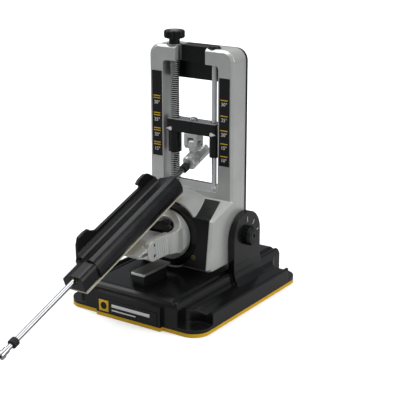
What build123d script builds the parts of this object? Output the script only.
"""Guided-rod knife honing stand: base, tilting tower, clamp, screw-driven carriage and rod-borne stone.

Frame: +X to the user's right, +Y to the back, +Z up, millimetres.
Origin: centre of the base plate's footprint, on the surface that the stand rests on.
"""
import math
import os

from build123d import *

# ---------------------------------------------------------------- driving dimensions
# base
BASE_W = 203.0
BASE_D = 240.0
BASE_CORNER_R = 22.0
PAD_T = 4.5
FLANGE_TOP = 9.0
RAIL_TOP = 25.5
RAIL_W = 6.0
TROUGH_FLOOR = 20.0
DECK_TOP = 40.0
DECK_HALF = 59.0
POCKET_X = 31.0
POCKET_Y = 30.0
POCKET_R = 17.0
TAB_HALF = 48.5
TAB_OUT = 4.5
UNDERSIDE_ROOF = 5.0
TAB_TOP = 31.0
UNDERSIDE_RIB = 5.0
MOUNT_HOLE_R = 2.75
MOUNT_INSET_X = 20.5
MOUNT_INSET_Y = 18.0
NAMEPLATE_W = 88.0
NAMEPLATE_H = 17.0
NAMEPLATE_T = 1.2
BASE_SCREW_R = 2.0
# reference bar
REF_HALF = 10.5
REF_Y0 = -104.0
REF_Y1 = -48.0
REF_TOP = 57.5
REF_T = 3.0
# tilting ears and pivot
TILT_Y = 33.0
TILT_Z = 82.0
EAR_R = 31.0
EAR_T = 8.5
EAR_GAP = 1.0
TILT_SHAFT_R = 5.0
TILT_SHAFT_IN = 14.0
TILT_WASHER_R = 6.7
SHAFT_PLAY = 0.06
LOCK_KNOB_R = 12.6
LOCK_KNOB_T = 9.0
# tower
TOWER_HALF = 63.0
TOWER_FRONT = 10.4
TOWER_BACK = 40.0
TOWER_TOP = 318.0
TOWER_CORNER_R = 15.0
TOWER_CHAMFER = 3.0
COVER_T = 4.6
WINDOW_HALF = 41.5
WINDOW_Z0 = 138.0
WINDOW_Z1 = 298.5
WINDOW_R = 5.0
NOTCH_LAP = 0.4
BRIDGE_FRONT = 23.5
BRIDGE_LOW = 275.0
# lower housing
HOUSING_Z0 = 51.0
HOUSING_FRONT_Z0 = 54.0
HOUSING_FRONT_Y0 = -43.0
HOUSING_KNEE_Y = -34.5
HOUSING_KNEE_Z = 116.5
SHOULDER_Z = 129.5
HUB_Z = 90.0
BOSS_R = 45.5
HUB_RING_R = 43.0
HUB_RING_IN = 33.0
HUB_FRONT_Y = -34.0
HUB_RING_T = 16.0
HUB_TUBE_R = 20.0
CAVITY_HALF = 45.0
CAVITY_FRONT = -10.0
PANEL_HALF = 59.0
PANEL_T = 3.0
SCALE_X0 = 43.3
SCALE_X1 = 58.3
SCALE_Z0 = 174.0
SCALE_Z1 = 284.2
SCALE_T = 0.8
# lead screw and guide
SCREW_X = 30.0
SCREW_Y = 20.0
SCREW_R = 6.0
SCREW_BUSH_R = 8.0
GUIDE_R = 3.25
RUN_PLAY = 0.05
ANGLE_KNOB_R = 13.2
ANGLE_KNOB_T = 10.0
ANGLE_STEM_R = 6.8
ANGLE_STEM_H = 6.5
# carriage
CARRIAGE_HALF = 37.3
CARRIAGE_FRONT = 11.0
CARRIAGE_BACK = 28.5
CARRIAGE_Z0 = 208.6
CARRIAGE_Z1 = 224.0
CARRIAGE_PLATE_T = 1.0
BARREL_Z0 = 181.0
NUT_BARREL_R = 8.5
GUIDE_BARREL_R = 6.2
NUT_R = 7.4
GUIDE_BUSH_R = 4.6
SWIVEL_Y = 18.0
SWIVEL_BOLT_R = 3.0
# fork and rod unit
PIN_Z = 195.0
PIN_R = 2.5
FORK_HALF = 9.6
FORK_SLOT_HALF = 4.6
FORK_DEPTH = 15.0
FORK_EAR_R = 7.5
ROD_PITCH = 20.5
ROD_DROP = 19.0
ROD_R = 3.1
ROD_END = 391.0
YOKE_BACK = -19.0
YOKE_FRONT = 19.5
YOKE_R = 9.6
KNUCKLE_R = 7.0
KNUCKLE_HALF = 4.2
NECK_R = 4.6
NECK_END = 23.5
BUMPER_R = 5.5
BUMPER_L = 9.5
COLLAR_START = 364.0
COLLAR_L = 9.0
CAP_START = 380.0
# stone carrier, distances along the rod from the fork pin
STONE_START = 57.5
STONE_LEN = 203.0
STONE_HALF = 13.5
STONE_T = 1.6
STONE_DROP = 16.5
BODY_START = 58.5
NOSE_START = 233.0
BODY_END = 261.0
CARRIER_BORE_R = 3.9
BUSH_LEN = 14.0
GUARD_T = 3.6
# clamp
CLAMP_BACK = -36.5
CLAMP_FRONT = -112.0
CLAMP_CUP_R = 32.0
CLAMP_ARM_HALF = 23.0
CLAMP_ARM_HIGH = 13.0
CLAMP_SLOT_HALF = 15.5
CLAMP_CAVITY_R = 24.5
WHEEL_R = 22.5
WHEEL_Y0 = -62.0
WHEEL_Y1 = -46.5
WHEEL_SCREW_R = 3.0
JAW_PIN_Y = -98.5
JAW_PIN_Z = 6.8
JAW_PIN_R = 2.2
JAW_TIP_Y = -131.0
JAW_TAIL_Y = -66.5
JAW_GAP = 0.35
JAW_TOP = 10.0
NOSE_ROOT_Y = -113.5
NOSE_HALF = 23.5
SPINDLE_R = 9.0
GRIP_COUNT = 6
GRIP_START = -95.0
GRIP_STEP = 4.2
GRIP_LEAN = 8.0
SPINDLE_NUT_R = 13.0
# clearances
GAP = 0.3
FACE_GAP = 0.05

BASE_HALF = BASE_W / 2
FRONT_Y = -BASE_D / 2
BACK_Y = BASE_D / 2
EAR_IN = TOWER_HALF + EAR_GAP
NOTCH_HALF = SCREW_X - SCREW_BUSH_R + NOTCH_LAP
EAR_OUT = EAR_IN + EAR_T
HOUSING_LEAN = (HOUSING_KNEE_Y - HOUSING_FRONT_Y0) / (HOUSING_KNEE_Z - HOUSING_FRONT_Z0)
SHOULDER_SLOPE = (SHOULDER_Z - HOUSING_KNEE_Z) / (TOWER_FRONT - HOUSING_KNEE_Y)
COVER_BACK = TOWER_BACK + COVER_T

nodes = {}


# ---------------------------------------------------------------- shape helpers
def block(x0, x1, y0, y1, z0, z1):
    """Rectangular block between two corners."""
    centre = Pos((x0 + x1) / 2, (y0 + y1) / 2, (z0 + z1) / 2)
    return centre * Box(x1 - x0, y1 - y0, z1 - z0)


def along_x(radius, x0, x1, y=0.0, z=0.0):
    """Round bar along X."""
    return Pos((x0 + x1) / 2, y, z) * Rot(0, 90, 0) * Cylinder(radius, x1 - x0)


def along_y(radius, y0, y1, x=0.0, z=0.0):
    """Round bar along Y."""
    return Pos(x, (y0 + y1) / 2, z) * Rot(90, 0, 0) * Cylinder(radius, y1 - y0)


def along_z(radius, z0, z1, x=0.0, y=0.0):
    """Round bar along Z."""
    return Pos(x, y, (z0 + z1) / 2) * Cylinder(radius, z1 - z0)


def prism_x(points, x0, x1):
    """Polygon given as (y, z) points, extruded from x0 to x1."""
    corners = [(x0, y, z) for y, z in points]
    return extrude(make_face(Polyline(*corners, close=True)), x1 - x0, dir=(1, 0, 0))


def prism_y(points, y0, y1):
    """Polygon given as (x, z) points, extruded from y0 to y1."""
    corners = [(x, y0, z) for x, z in points]
    return extrude(make_face(Polyline(*corners, close=True)), y1 - y0, dir=(0, 1, 0))


def prism_z(points, z0, z1):
    """Polygon given as (x, y) points, extruded from z0 to z1."""
    corners = [(x, y, z0) for x, y in points]
    return extrude(make_face(Polyline(*corners, close=True)), z1 - z0, dir=(0, 0, 1))


def rounded_slab(x0, x1, y0, y1, z0, z1, radius):
    """Block with rounded upright edges."""
    sketch = Pos((x0 + x1) / 2, (y0 + y1) / 2, z0) * RectangleRounded(x1 - x0, y1 - y0, radius)
    return extrude(sketch, z1 - z0)


def rounded_wall(x0, x1, z0, z1, y0, y1, radius):
    """Block with rounded edges along Y."""
    plane = Plane.XZ.offset(-y1)
    sketch = plane * (Pos((x0 + x1) / 2, (z0 + z1) / 2) * RectangleRounded(x1 - x0, z1 - z0, radius))
    return extrude(sketch, y1 - y0)


def mirrored(shape):
    """The shape's left-hand twin."""
    return mirror(shape, about=Plane.YZ)


def both_sides(shape):
    """The shape and its left-hand twin, as one."""
    return shape + mirrored(shape)


def front_y_at(z):
    """Y of the housing's leaning front face at height z."""
    return HOUSING_FRONT_Y0 + HOUSING_LEAN * (z - HOUSING_FRONT_Z0)


def shoulder_z_at(y):
    """Height of the housing's sloping shoulder at depth y."""
    return HOUSING_KNEE_Z + SHOULDER_SLOPE * (y - HOUSING_KNEE_Y)


# ---------------------------------------------------------------- base
def footprint(z0, z1):
    """Base outline with the front tab."""
    slab = rounded_slab(-BASE_HALF, BASE_HALF, FRONT_Y, BACK_Y, z0, z1, BASE_CORNER_R)
    tab = block(-TAB_HALF, TAB_HALF, FRONT_Y - TAB_OUT, FRONT_Y + TAB_OUT, z0, z1)
    return slab + tab


def mount_holes(z0, z1):
    """Four corner holes for screwing the stand down."""
    x = BASE_HALF - MOUNT_INSET_X
    y = BACK_Y - MOUNT_INSET_Y
    holes = [along_z(MOUNT_HOLE_R, z0, z1, sx * x, sy * y) for sx in (-1, 1) for sy in (-1, 1)]
    return holes


def pad_screw_places():
    """Where the screws that hold the foot pad go up into the casting."""
    x = DECK_HALF
    y = BACK_Y - POCKET_Y + 8.0
    return [(sx * x, sy * y) for sx in (-1, 1) for sy in (-1, 1)]


def make_foot_pad():
    """Bright rubber-edged pad under the whole base."""
    pad = footprint(0, PAD_T)
    for hole in mount_holes(-1, PAD_T + 1):
        pad -= hole
    for x, y in pad_screw_places():
        pad -= along_z(BASE_SCREW_R, -1, PAD_T + 1, x, y)
        pad -= along_z(BASE_SCREW_R * 2 + GAP, -1, PAD_T / 2, x, y)
    return pad


def base_section():
    """Front view of the base casting above its flange."""
    half = [
        (0.0, DECK_TOP),
        (DECK_HALF, DECK_TOP),
        (DECK_HALF + 2.0, DECK_TOP - 3.5),
        (DECK_HALF + 4.0, DECK_TOP - 3.8),
        (DECK_HALF + 6.0, DECK_TOP - 1.8),
        (DECK_HALF + 8.0, DECK_TOP - 1.4),
        (DECK_HALF + 9.8, DECK_TOP - 3.0),
        (DECK_HALF + 12.2, DECK_TOP - 13.0),
        (DECK_HALF + 14.5, DECK_TOP - 16.2),
        (DECK_HALF + 20.0, DECK_TOP - 17.6),
        (BASE_HALF - RAIL_W - 3.5, TROUGH_FLOOR),
        (BASE_HALF - RAIL_W, TROUGH_FLOOR + 1.2),
        (BASE_HALF - 4.2, RAIL_TOP - 1.0),
        (BASE_HALF - 2.2, RAIL_TOP),
        (BASE_HALF - 0.6, RAIL_TOP - 0.8),
        (BASE_HALF, RAIL_TOP - 2.6),
        (BASE_HALF, PAD_T),
    ]
    left = [(-x, z) for x, z in reversed(half) if x > 0]
    return half + left


def base_side_profile():
    """Side view of the casting: rounded over at the front, eased at the back."""
    return [
        (FRONT_Y - TAB_OUT - 1.0, PAD_T),
        (FRONT_Y - TAB_OUT - 1.0, TAB_TOP),
        (FRONT_Y, TAB_TOP),
        (FRONT_Y + 0.8, DECK_TOP - 6.0),
        (FRONT_Y + 3.0, DECK_TOP - 2.8),
        (FRONT_Y + 6.5, DECK_TOP - 0.7),
        (FRONT_Y + 11.0, DECK_TOP),
        (BACK_Y - 8.0, DECK_TOP),
        (BACK_Y - 4.0, DECK_TOP - 1.0),
        (BACK_Y - 1.0, DECK_TOP - 4.0),
        (BACK_Y, DECK_TOP - 8.0),
        (BACK_Y, PAD_T),
    ]


def ear(side):
    """Upright ear that holds one end of the tilt axis."""
    x0 = EAR_IN
    x1 = EAR_OUT
    foot = TROUGH_FLOOR - 1.0
    body = block(x0, x1, TILT_Y - EAR_R, TILT_Y + EAR_R, foot, TILT_Z)
    body += along_x(EAR_R, x0, x1, TILT_Y, TILT_Z)
    body -= along_x(TILT_SHAFT_R, x0 - 1, x1 + 1, TILT_Y, TILT_Z)
    root = prism_y(
        [
            (x0, foot),
            (x0, DECK_TOP + 6.0),
            (x1, DECK_TOP + 6.0),
            (x1 + 0.8, DECK_TOP - 3.0),
            (x1 + 2.4, DECK_TOP - 10.0),
            (x1 + 6.0, DECK_TOP - 15.5),
            (x1 + 10.0, foot),
        ],
        TILT_Y - EAR_R,
        TILT_Y + EAR_R + 2.0,
    )
    body += root
    return body if side > 0 else mirrored(body)


def make_base_casting():
    """Base casting with deck, side troughs, corner flanges and ears."""
    outline = footprint(PAD_T, DECK_TOP + 1.0)
    casting = prism_y(base_section(), FRONT_Y - TAB_OUT, BACK_Y) & outline
    casting &= prism_x(base_side_profile(), -BASE_HALF - 1, BASE_HALF + 1)
    for sx in (-1, 1):
        for sy in (-1, 1):
            cx = sx * BASE_HALF
            cy = sy * BASE_D / 2
            x0, x1 = sorted((cx - sx * POCKET_X, cx + sx * POCKET_X))
            y0, y1 = sorted((cy - sy * POCKET_Y, cy + sy * POCKET_Y))
            casting -= rounded_slab(x0, x1, y0, y1, FLANGE_TOP, DECK_TOP + 2.0, POCKET_R)
    bay_y = BASE_D / 2 - POCKET_Y - UNDERSIDE_RIB
    bay_x = DECK_HALF - UNDERSIDE_RIB
    for y0, y1 in ((-bay_y, -UNDERSIDE_RIB / 2), (UNDERSIDE_RIB / 2, bay_y)):
        casting -= block(-bay_x, -UNDERSIDE_RIB / 2, y0, y1, PAD_T - 1, DECK_TOP - UNDERSIDE_ROOF)
        casting -= block(UNDERSIDE_RIB / 2, bay_x, y0, y1, PAD_T - 1, DECK_TOP - UNDERSIDE_ROOF)
    side_x0 = DECK_HALF + UNDERSIDE_RIB
    side_x1 = BASE_HALF - UNDERSIDE_RIB
    casting -= both_sides(block(side_x0, side_x1, -bay_y, bay_y, PAD_T - 1, TROUGH_FLOOR - 4.0))
    for side in (-1, 1):
        casting += ear(side)
    for hole in mount_holes(PAD_T - 1, FLANGE_TOP + 1):
        casting -= hole
    for x, y in pad_screw_places():
        casting -= along_z(BASE_SCREW_R, PAD_T - 1, PAD_T + 9.0, x, y)
    plate_y = FRONT_Y - TAB_OUT
    casting -= block(*nameplate_span(), plate_y - 1, plate_y + NAMEPLATE_T / 2, *nameplate_heights())
    return casting


def nameplate_span():
    """Left and right edge of the nameplate."""
    return -NAMEPLATE_W / 2, NAMEPLATE_W / 2


def nameplate_heights():
    """Lower and upper edge of the nameplate."""
    z0 = PAD_T + 1.5
    return z0, z0 + NAMEPLATE_H


def make_nameplate():
    """Plain plate let into the front of the base."""
    y = FRONT_Y - TAB_OUT
    return block(*nameplate_span(), y - NAMEPLATE_T / 2, y + NAMEPLATE_T / 2, *nameplate_heights())


def make_pad_screws():
    """Screws that hold the pad to the casting, as one group."""
    screws = []
    for x, y in pad_screw_places():
        shank = along_z(BASE_SCREW_R, PAD_T / 2, PAD_T + 8.0, x, y)
        head = along_z(BASE_SCREW_R * 2, 0.6, PAD_T / 2, x, y)
        screws.append(shank + head)
    return Compound(children=screws)


def make_reference_support():
    """Black block that carries the reference plate."""
    half = REF_HALF - 2.0
    return block(-half, half, REF_Y0 + 2.5, REF_Y1 - 6.0, DECK_TOP, REF_TOP - REF_T)


def make_reference_plate():
    """Flat steel plate on which a level or angle gauge is zeroed."""
    plate = rounded_slab(-REF_HALF, REF_HALF, REF_Y0, REF_Y1, REF_TOP - REF_T, REF_TOP, 2.0)
    return chamfer(plate.faces().sort_by(Axis.Z)[-1].edges(), 0.6)


# ---------------------------------------------------------------- tilt pivots
def make_tilt_shaft(side):
    """Shaft that carries one side of the tower in its ear."""
    x0 = TOWER_HALF - TILT_SHAFT_IN
    x1 = EAR_OUT + LOCK_KNOB_T - 3.0
    shaft = along_x(TILT_SHAFT_R, x0, x1, TILT_Y, TILT_Z)
    return shaft if side > 0 else mirrored(shaft)


def make_tilt_washers():
    """Thin washers between the tower and its ears, as one group."""
    washer = along_x(TILT_WASHER_R, TOWER_HALF + FACE_GAP, EAR_IN, TILT_Y, TILT_Z)
    washer -= along_x(TILT_SHAFT_R, TOWER_HALF - 1, EAR_IN + 1, TILT_Y, TILT_Z)
    return Compound(children=[washer, mirrored(washer)])


def make_lock_knob(side):
    """Fluted knob that locks the tilt."""
    x0 = EAR_OUT + GAP
    x1 = x0 + LOCK_KNOB_T
    knob = along_x(LOCK_KNOB_R, x0, x0 + LOCK_KNOB_T * 0.6, TILT_Y, TILT_Z)
    nose = Pos(x0 + LOCK_KNOB_T * 0.8, TILT_Y, TILT_Z) * Rot(0, 90, 0) * Cone(
        LOCK_KNOB_R, LOCK_KNOB_R - 2.6, LOCK_KNOB_T * 0.4
    )
    knob += nose
    knob -= along_x(TILT_SHAFT_R + SHAFT_PLAY, x0 - 1, x1 - 2.9, TILT_Y, TILT_Z)
    knob -= along_x(6.4, x1 - 1.6, x1 + 1, TILT_Y, TILT_Z)
    flutes = 16
    for i in range(flutes):
        a = 2 * math.pi * i / flutes
        y = TILT_Y + (LOCK_KNOB_R + 0.6) * math.cos(a)
        z = TILT_Z + (LOCK_KNOB_R + 0.6) * math.sin(a)
        knob -= along_x(1.3, x0 + 1.0, x1 + 1, y, z)
    return knob if side > 0 else mirrored(knob)


def make_knob_screw(side):
    """Socket screw in the middle of a lock knob."""
    x1 = EAR_OUT + GAP + LOCK_KNOB_T
    screw = along_x(6.4, x1 - 1.6, x1 + 0.4, TILT_Y, TILT_Z)
    socket = Plane(origin=(x1 + 0.5, TILT_Y, TILT_Z), z_dir=(-1, 0, 0)) * RegularPolygon(3.0, 6)
    screw -= extrude(socket, 1.4)
    return screw if side > 0 else mirrored(screw)


# ---------------------------------------------------------------- tower
def front_panel_solid():
    """Black plate that covers the housing's leaning front, up to the shoulder."""
    z0 = HOUSING_FRONT_Z0
    back_y = HOUSING_KNEE_Y + PANEL_T
    profile = [
        (front_y_at(z0), z0),
        (HOUSING_KNEE_Y, HOUSING_KNEE_Z),
        (back_y, shoulder_z_at(back_y)),
        (back_y, HOUSING_KNEE_Z - PANEL_T),
        (front_y_at(z0) + PANEL_T, z0),
    ]
    return prism_x(profile, -PANEL_HALF, PANEL_HALF)


def shoulder_panel_solid():
    """Black inlay on the right half of the sloping shoulder."""
    y0 = HOUSING_KNEE_Y + PANEL_T
    y1 = TOWER_FRONT - 3.0
    outline = [
        (33.5, y0),
        (PANEL_HALF, y0),
        (PANEL_HALF - 11.0, y1),
        (19.5, y1),
    ]
    column = prism_z(outline, HOUSING_KNEE_Z - 10, SHOULDER_Z + 10)
    layer = prism_x(
        [
            (HOUSING_KNEE_Y - 5, shoulder_z_at(HOUSING_KNEE_Y - 5)),
            (TOWER_FRONT + 5, shoulder_z_at(TOWER_FRONT + 5)),
            (TOWER_FRONT + 5, shoulder_z_at(TOWER_FRONT + 5) - 2.0),
            (HOUSING_KNEE_Y - 5, shoulder_z_at(HOUSING_KNEE_Y - 5) - 2.0),
        ],
        0.0,
        TOWER_HALF,
    )
    panel = column & layer
    return panel - along_y(BOSS_R + 0.2, -60, 30, 0, HUB_Z)


def make_tower_casting():
    """Silver casting: two legs, top bar and the housing below the window."""
    body = rounded_wall(
        -TOWER_HALF, TOWER_HALF, HOUSING_Z0 - 40, TOWER_TOP, TOWER_FRONT, TOWER_BACK, TOWER_CORNER_R
    )
    body &= block(-90, 90, -90, 90, HOUSING_Z0, TOWER_TOP + 10)
    profile = [
        (TOWER_FRONT + 5, HOUSING_Z0),
        (HOUSING_FRONT_Y0 + 4.0, HOUSING_Z0),
        (HOUSING_FRONT_Y0, HOUSING_FRONT_Z0),
        (HOUSING_KNEE_Y, HOUSING_KNEE_Z),
        (TOWER_FRONT, SHOULDER_Z),
        (TOWER_FRONT + 5, SHOULDER_Z),
    ]
    housing = prism_x(profile, -TOWER_HALF, TOWER_HALF)
    upright = housing.edges().filter_by_position(Axis.Y, HOUSING_FRONT_Y0 - 1, TOWER_FRONT - 1)
    on_side = [e for e in upright if abs(abs(e.center().X) - TOWER_HALF) < 0.1]
    side_edges = [e for e in on_side if e.center().Z > HOUSING_Z0 + 1]
    housing = chamfer(side_edges, TOWER_CHAMFER)
    front_edges = [
        e
        for e in body.faces().sort_by(Axis.Y)[0].edges()
        if e.center().Z > HOUSING_Z0 + 1
    ]
    body = chamfer(front_edges, TOWER_CHAMFER)
    body += housing
    boss = along_y(BOSS_R, HUB_FRONT_Y, TOWER_FRONT + 2, 0, HUB_Z)
    body += boss
    window = rounded_wall(-WINDOW_HALF, WINDOW_HALF, WINDOW_Z0, WINDOW_Z1, -50, 60, WINDOW_R)
    body -= window
    body -= block(-NOTCH_HALF, NOTCH_HALF, -50, 60, WINDOW_Z1 - 8, TOWER_TOP + 10)
    body -= front_panel_solid()
    body -= along_y(HUB_RING_R, -60, HUB_FRONT_Y + HUB_RING_T, 0, HUB_Z)
    body -= along_y(SPINDLE_R + SHAFT_PLAY, -60, 60, 0, HUB_Z)
    body -= along_y(SPINDLE_NUT_R + 1.5, TOWER_BACK - 8.0, 60, 0, HUB_Z)
    body -= both_sides(shoulder_panel_solid())
    cavity = block(-CAVITY_HALF, CAVITY_HALF, CAVITY_FRONT, TOWER_BACK + 1, HOUSING_Z0 + 6.0, WINDOW_Z0 - 16.0)
    body -= cavity - along_y(HUB_TUBE_R, -60, 60, 0, HUB_Z)
    for side in (-1, 1):
        x = side * SCREW_X
        x0, x1 = sorted((side * (TOWER_HALF - TILT_SHAFT_IN), side * (TOWER_HALF + 1)))
        body -= along_x(TILT_SHAFT_R + SHAFT_PLAY, x0, x1, TILT_Y, TILT_Z)
        x0, x1 = sorted((side * SCALE_X0, side * SCALE_X1))
        body -= block(x0, x1, TOWER_FRONT - 1, TOWER_FRONT + SCALE_T / 2, SCALE_Z0, SCALE_Z1)
    body -= along_z(SCREW_BUSH_R, WINDOW_Z1 - 1, TOWER_TOP + 1, -SCREW_X, SCREW_Y)
    body -= along_z(SCREW_BUSH_R, WINDOW_Z0 - 10, WINDOW_Z0 + 1, -SCREW_X, SCREW_Y)
    body -= along_z(GUIDE_R, WINDOW_Z1 - 1, TOWER_TOP + 1, SCREW_X, SCREW_Y)
    body -= along_z(GUIDE_R, WINDOW_Z0 - 10, WINDOW_Z0 + 1, SCREW_X, SCREW_Y)
    for x, z in cover_screw_places():
        body -= along_y(2.0, TOWER_BACK - 10.0, TOWER_BACK + 1, x, z)
    for x, z in panel_screw_places():
        y = front_y_at(z)
        body -= along_y(1.7, y, y + 12.0, x, z)
    return body


def cover_screw_places():
    """Where the back cover's screws go."""
    z_places = (66.0, 150.0, 232.0, 303.0)
    x = (WINDOW_HALF + TOWER_HALF) / 2
    return [(sx * x, z) for sx in (-1, 1) for z in z_places]


def panel_screw_places():
    """Where the two front panel screws go."""
    return [(-40.0, HOUSING_FRONT_Z0 + 13.0), (40.0, HOUSING_FRONT_Z0 + 13.0)]


def make_back_cover():
    """Black cover over the tower's back."""
    half = TOWER_HALF + 0.6
    cover = rounded_wall(
        -half, half, HOUSING_Z0 - 40, TOWER_TOP, TOWER_BACK, COVER_BACK, TOWER_CORNER_R
    )
    cover &= block(-90, 90, 0, 90, HOUSING_Z0, TOWER_TOP + 10)
    outer_edges = cover.faces().sort_by(Axis.Y)[-1].edges()
    cover = chamfer(outer_edges, 1.5)
    cover -= rounded_wall(-WINDOW_HALF, WINDOW_HALF, WINDOW_Z0, BRIDGE_LOW, 30, 60, WINDOW_R)
    cover -= along_y(SPINDLE_NUT_R + 1.5, 0, 60, 0, HUB_Z)
    for x, z in cover_screw_places():
        cover -= along_y(2.2, TOWER_BACK - 1, COVER_BACK + 1, x, z)
        cover -= along_y(3.6, COVER_BACK - 1.6, COVER_BACK + 1, x, z)
    return cover


def make_cover_screws():
    """Screws of the back cover, as one group."""
    screws = []
    for x, z in cover_screw_places():
        shank = along_y(2.0, TOWER_BACK - 9.0, COVER_BACK - 1.6, x, z)
        head = along_y(3.6, COVER_BACK - 1.6, COVER_BACK - 0.2, x, z)
        socket = Plane(origin=(x, COVER_BACK, z), z_dir=(0, -1, 0)) * RegularPolygon(1.6, 6)
        screws.append(shank + head - extrude(socket, 1.1))
    return Compound(children=screws)


def make_top_bridge():
    """Black filler in the notch of the top bar, down to the top of the opening."""
    bridge = block(-NOTCH_HALF, NOTCH_HALF, BRIDGE_FRONT, TOWER_BACK, WINDOW_Z1 - 1, TOWER_TOP - 0.4)
    half = WINDOW_HALF - 1.2
    y0 = TOWER_BACK - 9.0
    opening = rounded_wall(-WINDOW_HALF, WINDOW_HALF, WINDOW_Z0, WINDOW_Z1, y0, TOWER_BACK, WINDOW_R)
    bridge += block(-half, half, y0, TOWER_BACK, BRIDGE_LOW, WINDOW_Z1) & opening
    return bridge


def make_front_panel():
    """Right half of the black leaning front cover, round the hub opening."""
    panel = front_panel_solid() & block(0, PANEL_HALF + 1, -60, 0, HOUSING_Z0, SHOULDER_Z)
    panel -= along_y(HUB_RING_R, -60, 30, 0, HUB_Z)
    for x, z in panel_screw_places():
        y = front_y_at(z)
        panel -= along_y(2.0, -60, 30, x, z)
        panel -= along_y(3.4, -60, y + 1.4, x, z)
    return panel


def make_panel_screws():
    """Brass-coloured socket screws of the front panel, as one group."""
    screws = []
    for x, z in panel_screw_places():
        y = front_y_at(z)
        shank = along_y(1.7, y + 1.4, y + 11.0, x, z)
        head = along_y(3.4, y - 0.4, y + 1.4, x, z)
        socket = Plane(origin=(x, y - 0.5, z), z_dir=(0, 1, 0)) * RegularPolygon(1.7, 6)
        screws.append(shank + head - extrude(socket, 1.5))
    return Compound(children=screws)


def make_hub_ring():
    """Black ring between the tower and the turning clamp."""
    ring = along_y(HUB_RING_R, HUB_FRONT_Y - 1.5, HUB_FRONT_Y + HUB_RING_T, 0, HUB_Z)
    edges = ring.faces().sort_by(Axis.Y)[0].edges()
    ring = chamfer(edges, 1.2)
    ring -= along_y(HUB_RING_IN, -60, CLAMP_BACK + 8.0, 0, HUB_Z)
    ring -= along_y(SPINDLE_R + SHAFT_PLAY, -60, 60, 0, HUB_Z)
    return ring


def make_scale_plate(side):
    """Black scale plate beside the window."""
    x0, x1 = sorted((side * SCALE_X0, side * SCALE_X1))
    y = TOWER_FRONT
    return block(x0, x1, y - SCALE_T / 2, y + SCALE_T / 2, SCALE_Z0, SCALE_Z1)


# ---------------------------------------------------------------- lead screw and guide
def make_lead_screw():
    """Vertical screw that raises and lowers the carriage."""
    core = along_z(SCREW_R, WINDOW_Z0 - 8.0, WINDOW_Z1 + 4.0, -SCREW_X, SCREW_Y)
    journal = along_z(SCREW_R - 1.0, WINDOW_Z1 + 4.0, TOWER_TOP + ANGLE_STEM_H + 4.0, -SCREW_X, SCREW_Y)
    return core + journal


def make_screw_bush_top():
    """Bush that the screw turns in at the top bar."""
    bush = along_z(SCREW_BUSH_R, WINDOW_Z1, TOWER_TOP, -SCREW_X, SCREW_Y)
    bush += along_z(SCREW_BUSH_R + 1.8, TOWER_TOP, TOWER_TOP + 1.0, -SCREW_X, SCREW_Y)
    bush -= along_z(SCREW_R + RUN_PLAY, WINDOW_Z1 - 1, WINDOW_Z1 + 4.0 + GAP, -SCREW_X, SCREW_Y)
    bush -= along_z(SCREW_R - 1.0 + RUN_PLAY, WINDOW_Z1, TOWER_TOP + 2, -SCREW_X, SCREW_Y)
    return bush


def make_screw_bush_bottom():
    """Bush that carries the screw's lower end."""
    bush = along_z(SCREW_BUSH_R, WINDOW_Z0 - 10.0, WINDOW_Z0, -SCREW_X, SCREW_Y)
    bush -= along_z(SCREW_R + RUN_PLAY, WINDOW_Z0 - 8.0 - GAP, WINDOW_Z0 + 1, -SCREW_X, SCREW_Y)
    return bush


def make_angle_knob():
    """Lobed knob that turns the screw."""
    z0 = TOWER_TOP + 1.0 + GAP
    z1 = z0 + ANGLE_STEM_H
    z2 = z1 + ANGLE_KNOB_T
    stem = along_z(ANGLE_STEM_R, z0, z1 + 1, -SCREW_X, SCREW_Y)
    head = along_z(ANGLE_KNOB_R, z1, z2, -SCREW_X, SCREW_Y)
    head = fillet(head.edges(), 2.4)
    lobes = 12
    for i in range(lobes):
        a = 2 * math.pi * i / lobes
        x = -SCREW_X + (ANGLE_KNOB_R + 1.2) * math.cos(a)
        y = SCREW_Y + (ANGLE_KNOB_R + 1.2) * math.sin(a)
        head -= along_z(2.4, z1 - 1, z2 + 1, x, y)
    knob = head + stem
    knob -= along_z(SCREW_R - 1.0, z0 - 1, TOWER_TOP + ANGLE_STEM_H + 4.0, -SCREW_X, SCREW_Y)
    knob -= along_z(6.0, z2 - 0.8, z2 + 1, -SCREW_X, SCREW_Y)
    return knob


def make_knob_disc():
    """Small bright disc in the knob's top."""
    z2 = TOWER_TOP + 1.0 + GAP + ANGLE_STEM_H + ANGLE_KNOB_T
    return along_z(6.0, z2 - 0.8, z2 - 0.1, -SCREW_X, SCREW_Y)


def make_guide_rod():
    """Smooth rod that keeps the carriage square."""
    return along_z(GUIDE_R, WINDOW_Z0 - 10.0, TOWER_TOP, SCREW_X, SCREW_Y)


def make_guide_cap():
    """Cap over the guide rod's top end, on its seat ring."""
    cap = along_z(6.8, TOWER_TOP + 0.8, TOWER_TOP + 2.8, SCREW_X, SCREW_Y)
    cap = fillet(cap.edges().sort_by(Axis.Z)[-1], 0.8)
    return cap + along_z(8.4, TOWER_TOP, TOWER_TOP + 0.8, SCREW_X, SCREW_Y)


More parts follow.
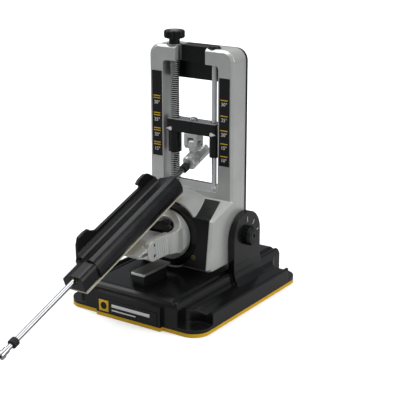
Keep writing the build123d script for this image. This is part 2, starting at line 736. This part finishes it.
# ---------------------------------------------------------------- carriage
def make_carriage_body():
    """Black cross-piece with the nut barrel and the guide barrel."""
    body = block(-CARRIAGE_HALF, CARRIAGE_HALF, CARRIAGE_FRONT, CARRIAGE_BACK, CARRIAGE_Z0, CARRIAGE_Z1)
    upright = body.edges().filter_by(Axis.Z)
    body = fillet(upright, 2.0)
    body += along_z(NUT_BARREL_R, BARREL_Z0, CARRIAGE_Z0 + 1, -SCREW_X, SCREW_Y)
    body += along_z(GUIDE_BARREL_R, BARREL_Z0, CARRIAGE_Z0 + 1, SCREW_X, SCREW_Y)
    body -= along_z(NUT_R, BARREL_Z0 - 1, CARRIAGE_Z1 + 1, -SCREW_X, SCREW_Y)
    body -= along_z(GUIDE_BUSH_R, BARREL_Z0 - 1, CARRIAGE_Z1 + 1, SCREW_X, SCREW_Y)
    body -= along_z(SWIVEL_BOLT_R + SHAFT_PLAY, CARRIAGE_Z0 - 1, CARRIAGE_Z1 + 1, 0, SWIVEL_Y)
    body -= block(-0.3, 0.3, CARRIAGE_FRONT - 1, CARRIAGE_FRONT + 0.5, CARRIAGE_Z0 - 1, CARRIAGE_Z1 + 1)
    return body


def make_carriage_plate():
    """Bright wear plate on top of the carriage."""
    z0 = CARRIAGE_Z1
    z1 = z0 + CARRIAGE_PLATE_T
    plate = rounded_slab(
        -CARRIAGE_HALF + 0.5, CARRIAGE_HALF - 0.5, CARRIAGE_FRONT + 0.5, CARRIAGE_BACK - 0.5, z0, z1, 1.8
    )
    plate -= along_z(NUT_BARREL_R - 1.0, z0 - 1, z1 + 1, -SCREW_X, SCREW_Y)
    plate -= along_z(GUIDE_BUSH_R, z0 - 1, z1 + 1, SCREW_X, SCREW_Y)
    plate -= along_z(SWIVEL_BOLT_R + SHAFT_PLAY, z0 - 1, z1 + 1, 0, SWIVEL_Y)
    return plate


def make_lead_nut():
    """Nut pressed into the carriage's left barrel."""
    nut = along_z(NUT_R, BARREL_Z0 + 1.0, CARRIAGE_Z1 - 6.0, -SCREW_X, SCREW_Y)
    nut -= along_z(SCREW_R + RUN_PLAY, BARREL_Z0, CARRIAGE_Z1, -SCREW_X, SCREW_Y)
    return nut


def make_guide_bush():
    """Plain bush in the carriage's right barrel."""
    bush = along_z(GUIDE_BUSH_R, BARREL_Z0 + 0.5, CARRIAGE_Z1 + CARRIAGE_PLATE_T + 0.6, SCREW_X, SCREW_Y)
    bush -= along_z(GUIDE_R + RUN_PLAY, BARREL_Z0, CARRIAGE_Z1 + 3.0, SCREW_X, SCREW_Y)
    return bush


def make_pointers():
    """White pointers at both ends of the carriage, as one group."""
    tip = CARRIAGE_HALF + 0.2
    z = CARRIAGE_Z0 + 3.0
    outline = [(tip, z), (tip - 6.5, z + 2.6), (tip - 8.5, z + 1.6), (tip - 8.5, z - 1.6), (tip - 6.5, z - 2.6)]
    right = prism_y(outline, CARRIAGE_FRONT - 0.4, CARRIAGE_FRONT)
    return Compound(children=[right, mirrored(right)])


# ---------------------------------------------------------------- swivel fork
def make_swivel_bolt():
    """Domed bolt on which the fork swivels."""
    z_head = CARRIAGE_Z1 + CARRIAGE_PLATE_T + 0.1
    shank = along_z(SWIVEL_BOLT_R, CARRIAGE_Z0 - 6.0, z_head + 0.5, 0, SWIVEL_Y)
    head = along_z(5.4, z_head, z_head + 3.2, 0, SWIVEL_Y)
    head = fillet(head.edges().sort_by(Axis.Z)[-1], 2.6)
    return shank + head


def make_fork():
    """Fork that hangs under the carriage and holds the pitch pin."""
    y0 = SWIVEL_Y - FORK_DEPTH / 2
    y1 = SWIVEL_Y + FORK_DEPTH / 2
    fork = block(-FORK_HALF, FORK_HALF, y0, y1, PIN_Z, CARRIAGE_Z0 - GAP)
    fork += along_x(FORK_EAR_R, -FORK_HALF, FORK_HALF, SWIVEL_Y, PIN_Z)
    fork -= block(-FORK_SLOT_HALF, FORK_SLOT_HALF, y0 - 1, y1 + 1, PIN_Z - 20, CARRIAGE_Z0 - 5.2)
    fork -= along_x(PIN_R, -FORK_HALF - 1, FORK_HALF + 1, SWIVEL_Y, PIN_Z)
    fork -= along_z(SWIVEL_BOLT_R, CARRIAGE_Z0 - 6.0, CARRIAGE_Z0, 0, SWIVEL_Y)
    groove = along_x(FORK_EAR_R + 1, FORK_HALF - 0.6, FORK_HALF + 1, SWIVEL_Y, PIN_Z)
    groove -= along_x(FORK_EAR_R - 1.6, FORK_HALF - 2, FORK_HALF + 2, SWIVEL_Y, PIN_Z)
    fork -= groove & block(0, 20, y0 - 5, y1 + 5, PIN_Z - 20, PIN_Z)
    return fork


def make_fork_pin():
    """Socket-headed pitch pin through both fork ears."""
    pin = along_x(PIN_R, -FORK_HALF - 0.8, FORK_HALF + 0.2, SWIVEL_Y, PIN_Z)
    head = along_x(PIN_R + 1.6, FORK_HALF + 0.05, FORK_HALF + 2.2, SWIVEL_Y, PIN_Z)
    socket = Plane(origin=(FORK_HALF + 2.3, SWIVEL_Y, PIN_Z), z_dir=(-1, 0, 0)) * RegularPolygon(1.8, 6)
    return pin + head - extrude(socket, 1.5)


# ---------------------------------------------------------------- rod unit, built level and then pitched
def pitched(shape):
    """Turn a level rod part to the rest pitch about the fork pin."""
    return Pos(0, SWIVEL_Y, PIN_Z) * Rot(ROD_PITCH, 0, 0) * shape


def bar(radius, start, end):
    """Round bar on the rod's axis between two distances in front of the pin."""
    return along_y(radius, -end, -start, 0, -ROD_DROP)


def make_rod_yoke():
    """Knuckle between the fork ears and the barrel that grips the rod."""
    yoke = bar(YOKE_R, YOKE_BACK, YOKE_FRONT)
    yoke = chamfer(yoke.edges(), 2.0)
    groove = bar(YOKE_R + 1, 7.0, 9.0) - bar(YOKE_R - 0.9, 6.0, 10.0)
    yoke -= groove
    lug = along_x(KNUCKLE_R, -KNUCKLE_HALF, KNUCKLE_HALF, 0, 0)
    lug += block(-KNUCKLE_HALF, KNUCKLE_HALF, -KNUCKLE_R, KNUCKLE_R, -ROD_DROP, 0)
    yoke += lug
    yoke -= bar(ROD_R, YOKE_BACK + 6.0, YOKE_FRONT + 1)
    yoke -= along_x(PIN_R + SHAFT_PLAY, -KNUCKLE_HALF - 1, KNUCKLE_HALF + 1, 0, 0)
    flat_z = -ROD_DROP + YOKE_R
    yoke -= block(-2.4, 2.4, -3.0, 3.0, flat_z - 40, flat_z - 2 * YOKE_R + 1.2)
    return pitched(yoke)


def make_rod():
    """Polished guide rod."""
    return pitched(bar(ROD_R, YOKE_BACK + 6.0, ROD_END - 2.0))


def make_rod_neck():
    """Lock nut between the yoke and the bumper."""
    neck = bar(NECK_R, YOKE_FRONT, NECK_END) - bar(ROD_R, YOKE_FRONT - 1, NECK_END + 1)
    return pitched(neck)


def ring_on_rod(radius, start, length, edge):
    """Rubber ring on the rod with rounded edges."""
    ring = bar(radius, start, start + length)
    ring = fillet(ring.edges(), edge)
    return pitched(ring - bar(ROD_R, start - 1, start + length + 1))


def make_bumper():
    """Rubber bumper that stops the stone short of the yoke."""
    return ring_on_rod(BUMPER_R, NECK_END, BUMPER_L, 1.6)


def make_rod_collar():
    """Rubber stop ring near the rod's free end."""
    return ring_on_rod(BUMPER_R, COLLAR_START, COLLAR_L, 1.6)


def make_rod_cap():
    """Flanged end cap of the rod."""
    cap = bar(4.0, CAP_START, ROD_END)
    cap += bar(5.0, ROD_END - 4.5, ROD_END)
    cap -= bar(ROD_R, CAP_START - 1, ROD_END - 2.0)
    cap -= bar(2.4, ROD_END - 2.5, ROD_END + 1)
    return pitched(cap)


# ---------------------------------------------------------------- stone carrier
def section_prism(points, start, end):
    """Carrier section as (sideways, height above the rod axis), between two distances along the rod."""
    shifted = [(x, z - ROD_DROP) for x, z in points]
    return prism_y(shifted, -end, -start)


def carrier_section():
    """Section of the carrier's long body: flat underneath, a ridge on top and a hollow towards the guard."""
    low = -STONE_DROP + STONE_T + 1.0
    return [
        (STONE_HALF, low),
        (STONE_HALF + 1.0, -11.0),
        (STONE_HALF + 1.2, -6.0),
        (STONE_HALF + 0.4, -1.8),
        (STONE_HALF - 1.4, 2.2),
        (10.0, 5.4),
        (7.6, 7.4),
        (4.8, 8.6),
        (2.2, 8.7),
        (0.2, 7.9),
        (-1.6, 6.4),
        (-4.0, 5.2),
        (-8.0, 4.0),
        (-13.5, 2.6),
        (-STONE_HALF - 4.5, 1.5),
        (-STONE_HALF - 4.5, -11.5),
        (-STONE_HALF, low),
    ]


def make_carrier_body():
    """Black stone carrier with its bore and nose."""
    body = section_prism(carrier_section(), BODY_START, NOSE_START)
    low = -STONE_DROP + STONE_T + 1.0
    nose = [
        (STONE_HALF - 1.5, low),
        (STONE_HALF - 1.5, 0.8),
        (10.4, 3.4),
        (8.6, 5.0),
        (6.4, 5.6),
        (-4.2, 5.6),
        (-7.0, 4.9),
        (-13.0, 2.8),
        (-STONE_HALF - 4.0, -1.5),
        (-STONE_HALF - 4.0, -11.0),
        (-STONE_HALF, low),
    ]
    body += section_prism(nose, NOSE_START - 1, BODY_END)
    body -= bar(CARRIER_BORE_R - 0.3, BODY_START - 1, BODY_END + 1)
    for start in (BODY_START, BODY_END - BUSH_LEN):
        body -= bar(CARRIER_BORE_R + RUN_PLAY, start - 1, start + BUSH_LEN + GAP)
    body -= bar(CARRIER_BORE_R + 1.3, BODY_END - 1.6, BODY_END + 1)
    return pitched(body)


def guard_outline():
    """Side view of the finger guard: a hump at each end of a long low edge."""
    return [
        (62.0, -10.0),
        (62.0, -2.0),
        (68.5, 10.5),
        (75.5, 19.0),
        (84.0, 23.2),
        (95.0, 23.0),
        (101.0, 20.5),
        (100.0, 17.5),
        (96.5, 15.5),
        (97.5, 12.6),
        (188.0, 14.0),
        (196.0, 18.5),
        (200.0, 23.8),
        (210.0, 25.2),
        (218.0, 24.6),
        (223.5, 17.8),
        (229.0, 2.0),
        (231.0, -1.0),
        (231.0, -10.0),
    ]


def make_finger_guard():
    """Upright finger guard along the carrier's left side."""
    outline = [(-y, z - ROD_DROP) for y, z in guard_outline()]
    x_out = -STONE_HALF - 4.5 - 0.2
    guard = prism_x(outline, x_out - GUARD_T, x_out)
    web = section_prism(
        [
            (x_out - 0.1, -9.0),
            (x_out - 0.1, 9.5),
            (x_out + 1.4, 6.4),
            (x_out + 3.2, 4.4),
            (x_out + 6.0, 3.2),
            (x_out + 9.0, 2.0),
            (x_out + 5.0, -4.0),
            (x_out + 0.1, -4.5),
        ],
        66.0,
        228.0,
    )
    web -= section_prism(carrier_section(), BODY_START - 1, NOSE_START + 1)
    return pitched(guard + web)


def make_stone_backing():
    """Steel backing strip under the carrier that holds the stone."""
    low = -STONE_DROP + STONE_T
    half = STONE_HALF - 0.8
    strip = block(-half, half, -STONE_START - STONE_LEN + 1, -STONE_START - 1, low, low + 1.0)
    return pitched(Pos(0, 0, -ROD_DROP) * strip)


def make_stone():
    """Removable abrasive plate, face down."""
    plate = rounded_slab(
        -STONE_HALF, STONE_HALF, -STONE_START - STONE_LEN, -STONE_START, -STONE_DROP, -STONE_DROP + STONE_T, 1.0
    )
    return pitched(Pos(0, 0, -ROD_DROP) * plate)


def make_carrier_bush(start):
    """Bush that slides on the rod, inside the carrier."""
    ring = bar(CARRIER_BORE_R, start, start + BUSH_LEN) - bar(ROD_R + RUN_PLAY, start - 1, start + BUSH_LEN + 1)
    return pitched(ring)


# ---------------------------------------------------------------- clamp
def between(low, high, share):
    """Value at a share of the way from one size to another."""
    return low + (high - low) * share


def clamp_plan():
    """Right edge of the clamp frame seen from above, front to back."""
    return [
        (CLAMP_ARM_HALF, CLAMP_FRONT - 1),
        (between(CLAMP_ARM_HALF, CLAMP_CUP_R, 0.07), -80.0),
        (between(CLAMP_ARM_HALF, CLAMP_CUP_R, 0.29), -66.0),
        (between(CLAMP_ARM_HALF, CLAMP_CUP_R, 0.53), -56.0),
        (between(CLAMP_ARM_HALF, CLAMP_CUP_R, 0.65), -48.0),
        (between(CLAMP_ARM_HALF, CLAMP_CUP_R, 0.89), -42.0),
        (CLAMP_CUP_R, CLAMP_BACK),
    ]


def make_clamp_frame():
    """Horseshoe frame of the clamp: round cup at the hub and two arms to the front."""
    plan = clamp_plan() + [(-x, y) for x, y in reversed(clamp_plan())]
    side = [
        (CLAMP_BACK, CLAMP_CUP_R),
        (-40.5, CLAMP_CUP_R),
        (-43.0, between(CLAMP_ARM_HIGH, CLAMP_CUP_R, 0.68)),
        (-47.0, between(CLAMP_ARM_HIGH, CLAMP_CUP_R, 0.40)),
        (-52.0, between(CLAMP_ARM_HIGH, CLAMP_CUP_R, 0.18)),
        (-58.0, between(CLAMP_ARM_HIGH, CLAMP_CUP_R, 0.06)),
        (-66.0, between(CLAMP_ARM_HIGH, CLAMP_CUP_R, 0.03)),
        (CLAMP_FRONT + 9.0, CLAMP_ARM_HIGH),
        (CLAMP_FRONT + 3.0, CLAMP_ARM_HIGH - 3.2),
        (CLAMP_FRONT, CLAMP_ARM_HIGH - 8.0),
    ]
    outline = [(y, HUB_Z + z) for y, z in side] + [(y, HUB_Z - z) for y, z in reversed(side)]
    frame = prism_z(plan, HUB_Z - 60, HUB_Z + 60) & prism_x(outline, -60, 60)
    frame &= along_y(CLAMP_CUP_R, CLAMP_FRONT - 5, CLAMP_BACK, 0, HUB_Z)
    frame -= block(-CLAMP_SLOT_HALF, CLAMP_SLOT_HALF, CLAMP_FRONT - 5, WHEEL_Y0 - 2, HUB_Z - 60, HUB_Z + 60)
    frame -= along_y(CLAMP_CAVITY_R, WHEEL_Y0 - 6.0, WHEEL_Y1 + 2.5, 0, HUB_Z)
    frame -= along_y(WHEEL_SCREW_R + RUN_PLAY, WHEEL_Y1, CLAMP_BACK + 1, 0, HUB_Z)
    for z in (-JAW_PIN_Z, JAW_PIN_Z):
        frame -= along_x(JAW_PIN_R, -60, 60, JAW_PIN_Y, HUB_Z + z)
    for i in range(GRIP_COUNT):
        y = GRIP_START + GRIP_STEP * i
        groove = Pos(CLAMP_ARM_HALF + 2.5, y, HUB_Z) * Rot(GRIP_LEAN, 0, 0) * Cylinder(3.1, 60)
        frame -= both_sides(groove)
    return frame


def make_spindle():
    """Shaft on which the whole clamp turns in the tower."""
    flange = along_y(CLAMP_CUP_R - 5.0, CLAMP_BACK, CLAMP_BACK + 6.0, 0, HUB_Z)
    shaft = along_y(SPINDLE_R, CLAMP_BACK + 6.0, TOWER_BACK - 2.0, 0, HUB_Z)
    flange -= along_y(WHEEL_SCREW_R + RUN_PLAY, CLAMP_BACK - 1, CLAMP_BACK + 4.0, 0, HUB_Z)
    return flange + shaft


def make_spindle_nut():
    """Nut that keeps the spindle in the tower."""
    nut = along_y(SPINDLE_NUT_R, TOWER_BACK - 7.5, TOWER_BACK - 1.5, 0, HUB_Z)
    nut -= along_y(SPINDLE_R, TOWER_BACK - 8, TOWER_BACK - 2.0, 0, HUB_Z)
    return nut


def make_thumb_wheel():
    """Fluted wheel that closes the jaws."""
    wheel = along_y(WHEEL_R, WHEEL_Y0, WHEEL_Y1, 0, HUB_Z)
    flutes = 24
    for i in range(flutes):
        a = 2 * math.pi * (i + 0.5) / flutes
        x = (WHEEL_R + 0.7) * math.cos(a)
        z = HUB_Z + (WHEEL_R + 0.7) * math.sin(a)
        wheel -= along_y(1.5, WHEEL_Y0 - 1, WHEEL_Y1 + 1, x, z)
    wheel += along_y(WHEEL_SCREW_R, WHEEL_Y1, CLAMP_BACK + 3.0, 0, HUB_Z)
    wheel -= along_y(WHEEL_SCREW_R + RUN_PLAY, WHEEL_Y0 - 1, WHEEL_Y1 - 4.0, 0, HUB_Z)
    return wheel


def make_wedge():
    """Cone on its screw that spreads the jaw tails."""
    y1 = WHEEL_Y0 - 2.4
    cone = Pos(0, y1 - 5.0, HUB_Z) * Rot(-90, 0, 0) * Cone(1.6, 5.2, 10.0)
    stem = along_y(WHEEL_SCREW_R, y1 - 0.5, WHEEL_Y1 - 8.0, 0, HUB_Z)
    return cone + stem


def jaw_profile():
    """Side view of the upper jaw, as heights above the clamp's middle plane."""
    return [
        (JAW_TIP_Y, JAW_GAP),
        (JAW_TIP_Y + 6.0, JAW_GAP),
        (JAW_TIP_Y + 7.5, JAW_GAP + 1.6),
        (JAW_PIN_Y + 8.0, JAW_GAP + 1.6),
        (JAW_TAIL_Y, JAW_GAP + 6.6),
        (JAW_TAIL_Y, JAW_TOP + 0.8),
        (JAW_PIN_Y - 4.0, JAW_TOP + 1.6),
        (NOSE_ROOT_Y, JAW_TOP - 3.5),
        (JAW_TIP_Y, JAW_GAP + 0.9),
    ]


def make_jaw(side):
    """One jaw: wide nose in front of the frame arms, narrow lever between them."""
    profile = [(y, HUB_Z + side * z) for y, z in jaw_profile()]
    half = CLAMP_SLOT_HALF - GAP
    lever = prism_x(profile, -half, half)
    wide = prism_x(profile, -NOSE_HALF, NOSE_HALF) & block(
        -60, 60, JAW_TIP_Y - 1, NOSE_ROOT_Y, HUB_Z - 40, HUB_Z + 40
    )
    jaw = lever + wide
    jaw -= along_x(JAW_PIN_R + SHAFT_PLAY, -60, 60, JAW_PIN_Y, HUB_Z + side * JAW_PIN_Z)
    return jaw


def make_jaw_pins():
    """Pins on which the two jaws rock, as one group."""
    pins = []
    for z in (-JAW_PIN_Z, JAW_PIN_Z):
        half = CLAMP_ARM_HALF - 0.6
        pins.append(along_x(JAW_PIN_R, -half, half, JAW_PIN_Y, HUB_Z + z))
    return Compound(children=pins)


# ---------------------------------------------------------------- assembly
def build():
    """Build every node."""
    nodes["foot_pad"] = make_foot_pad()
    nodes["base_casting"] = make_base_casting()
    nodes["nameplate"] = make_nameplate()
    nodes["pad_screws"] = make_pad_screws()
    nodes["reference_support"] = make_reference_support()
    nodes["reference_plate"] = make_reference_plate()
    for side, word in ((-1, "left"), (1, "right")):
        nodes["tilt_shaft_" + word] = make_tilt_shaft(side)
        nodes["lock_knob_" + word] = make_lock_knob(side)
        nodes["lock_knob_screw_" + word] = make_knob_screw(side)
        nodes["scale_plate_" + word] = make_scale_plate(side)
    nodes["tilt_washers"] = make_tilt_washers()
    nodes["tower_casting"] = make_tower_casting()
    nodes["back_cover"] = make_back_cover()
    nodes["cover_screws"] = make_cover_screws()
    nodes["top_bridge"] = make_top_bridge()
    nodes["front_panel_right"] = make_front_panel()
    nodes["front_panel_left"] = mirrored(make_front_panel())
    nodes["panel_screws"] = make_panel_screws()
    nodes["shoulder_panel_right"] = shoulder_panel_solid()
    nodes["shoulder_panel_left"] = mirrored(shoulder_panel_solid())
    nodes["hub_ring"] = make_hub_ring()
    nodes["lead_screw"] = make_lead_screw()
    nodes["screw_bush_top"] = make_screw_bush_top()
    nodes["screw_bush_bottom"] = make_screw_bush_bottom()
    nodes["angle_knob"] = make_angle_knob()
    nodes["angle_knob_disc"] = make_knob_disc()
    nodes["guide_rod"] = make_guide_rod()
    nodes["guide_cap"] = make_guide_cap()
    nodes["carriage_body"] = make_carriage_body()
    nodes["carriage_plate"] = make_carriage_plate()
    nodes["lead_nut"] = make_lead_nut()
    nodes["guide_bush"] = make_guide_bush()
    nodes["carriage_pointers"] = make_pointers()
    nodes["swivel_bolt"] = make_swivel_bolt()
    nodes["fork"] = make_fork()
    nodes["fork_pin"] = make_fork_pin()
    nodes["rod_yoke"] = make_rod_yoke()
    nodes["rod"] = make_rod()
    nodes["rod_neck"] = make_rod_neck()
    nodes["rod_bumper"] = make_bumper()
    nodes["rod_collar"] = make_rod_collar()
    nodes["rod_cap"] = make_rod_cap()
    nodes["carrier_body"] = make_carrier_body()
    nodes["finger_guard"] = make_finger_guard()
    nodes["stone_backing"] = make_stone_backing()
    nodes["stone"] = make_stone()
    nodes["carrier_bush_upper"] = make_carrier_bush(BODY_START)
    nodes["carrier_bush_lower"] = make_carrier_bush(BODY_END - BUSH_LEN)
    nodes["clamp_frame"] = make_clamp_frame()
    nodes["clamp_spindle"] = make_spindle()
    nodes["spindle_nut"] = make_spindle_nut()
    nodes["thumb_wheel"] = make_thumb_wheel()
    nodes["jaw_wedge"] = make_wedge()
    nodes["jaw_upper"] = make_jaw(1)
    nodes["jaw_lower"] = make_jaw(-1)
    nodes["jaw_pins"] = make_jaw_pins()


def write():
    """Write one STEP file per node."""
    os.makedirs("parts", exist_ok=True)
    for name, shape in nodes.items():
        export_step(shape, os.path.join("parts", name + ".step"))


build()
write()
